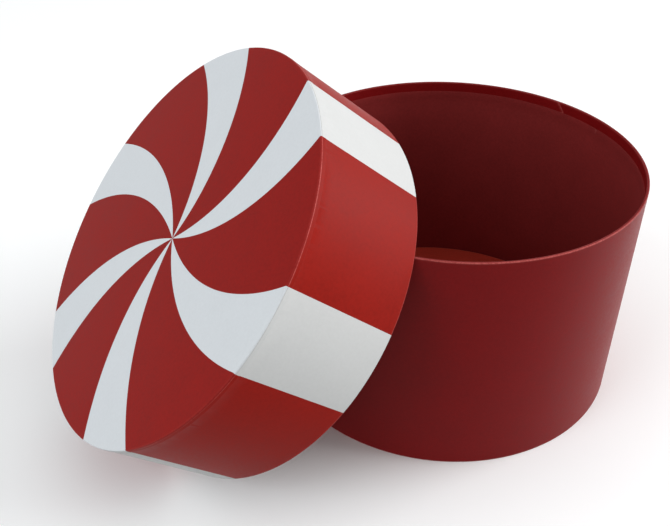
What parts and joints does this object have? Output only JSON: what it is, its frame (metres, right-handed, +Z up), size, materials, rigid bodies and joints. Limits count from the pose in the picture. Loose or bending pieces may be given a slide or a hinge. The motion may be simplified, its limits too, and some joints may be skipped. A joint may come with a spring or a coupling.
{
  "type": "hat box",
  "caption": "Round paper-covered hat box, open, with its lift-off lid leaning on the rim and printed with a red and white swirl.",
  "frame": {"origin": "centre of the box's underside, where it stands", "axes": "+Z up along the box's axis; the lid leans on the box's rim from the -X side, and XZ is the plane it leans in"},
  "size_m": [0.5678, 0.358, 0.3417],
  "materials": {
    "greyboard": "raw grey board, matt and fibrous",
    "kraft_tape": "gummed kraft tape, matt",
    "red_paper": "satin coated paper, deep red",
    "maroon_lining": "matt maroon paper",
    "underside_paper": "matt maroon paper",
    "floor_lining": "matt maroon paper",
    "striped_paper": "satin printed paper, red with white bands",
    "swirl_paper": "satin printed paper, red with white curved blades",
    "lid_lining": "matt maroon paper"
  },
  "bodies": {
    "box": {"box_wall_board": "greyboard", "box_wall_joint_tape": "kraft_tape", "box_base_board": "greyboard", "box_base_corner_tape": "kraft_tape", "box_outer_cover": "red_paper", "box_wall_lining": "maroon_lining", "box_underside_cover": "underside_paper", "box_floor_card": "greyboard", "box_floor_lining": "floor_lining"},
    "lid": {"lid_side_board": "greyboard", "lid_side_joint_tape": "kraft_tape", "lid_top_board": "greyboard", "lid_top_corner_tape": "kraft_tape", "lid_side_cover": "striped_paper", "lid_side_lining": "lid_lining", "lid_top_cover": "swirl_paper", "lid_ceiling_lining": "lid_lining"}
  },
  "joints": [
    {"name": "lid_swing", "type": "hinge", "parent": "box", "child": "lid", "pos_m": [0.00731, 0, -0.02946], "axis": [0, 1, 0], "range_deg": [0, 49]}
  ]
}
